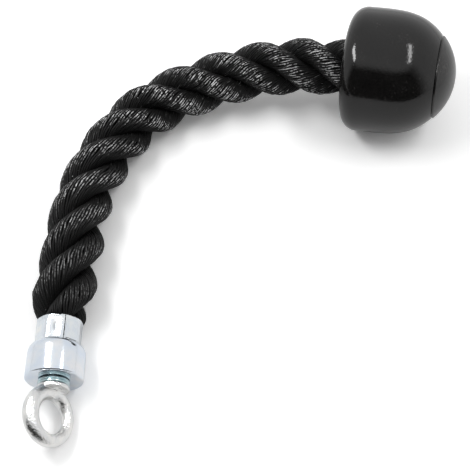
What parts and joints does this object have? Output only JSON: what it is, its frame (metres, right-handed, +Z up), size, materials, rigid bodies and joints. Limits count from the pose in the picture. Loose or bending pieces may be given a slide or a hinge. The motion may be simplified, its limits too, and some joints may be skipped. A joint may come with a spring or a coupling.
{
  "type": "triceps rope attachment",
  "caption": "Single-hand triceps rope: thick laid rope with a ball grip and dome cap at one end and a crimped steel fitting with a swivelling eye at the other.",
  "frame": {"origin": "on the plane that the object lies on, under the middle of the box of its rigid pieces", "axes": "+Z up from that plane; the fitting's swivel axis lies along Y with the eye towards -Y; the rope bends round to +X, where the ball is"},
  "size_m": [0.2259, 0.2482, 0.0707],
  "materials": {
    "rope_fibre": "black laid rope of split-film yarns",
    "zinc_plate": "bright bluish zinc plate",
    "forged_zinc": "forged and zinc plated",
    "dark_zinc": "dark teal passivated",
    "plain_steel": "plain steel",
    "nylon": "plain nylon",
    "ball_rubber": "gloss black, moulded",
    "binding_tape": "black cloth tape"
  },
  "bodies": {
    "grip": {"swivel_cup": "zinc_plate", "crimp_sleeve": "zinc_plate", "seat_disc": "plain_steel", "rope": "rope_fibre", "ball_body": "ball_rubber", "ball_cap": "ball_rubber", "stop_washer": "plain_steel", "stop_ring": "plain_steel", "end_whipping": "binding_tape"},
    "eye": {"eye_bolt": "forged_zinc", "thrust_washer": "dark_zinc", "inner_washer": "zinc_plate", "lock_nut": "zinc_plate", "nut_insert": "nylon"}
  },
  "joints": [
    {"name": "eye_swivel", "type": "hinge", "parent": "grip", "child": "eye", "pos_m": [-0.09813, -0.09082, 0.0144], "axis": [0, 1, 0], "continuous": true}
  ]
}
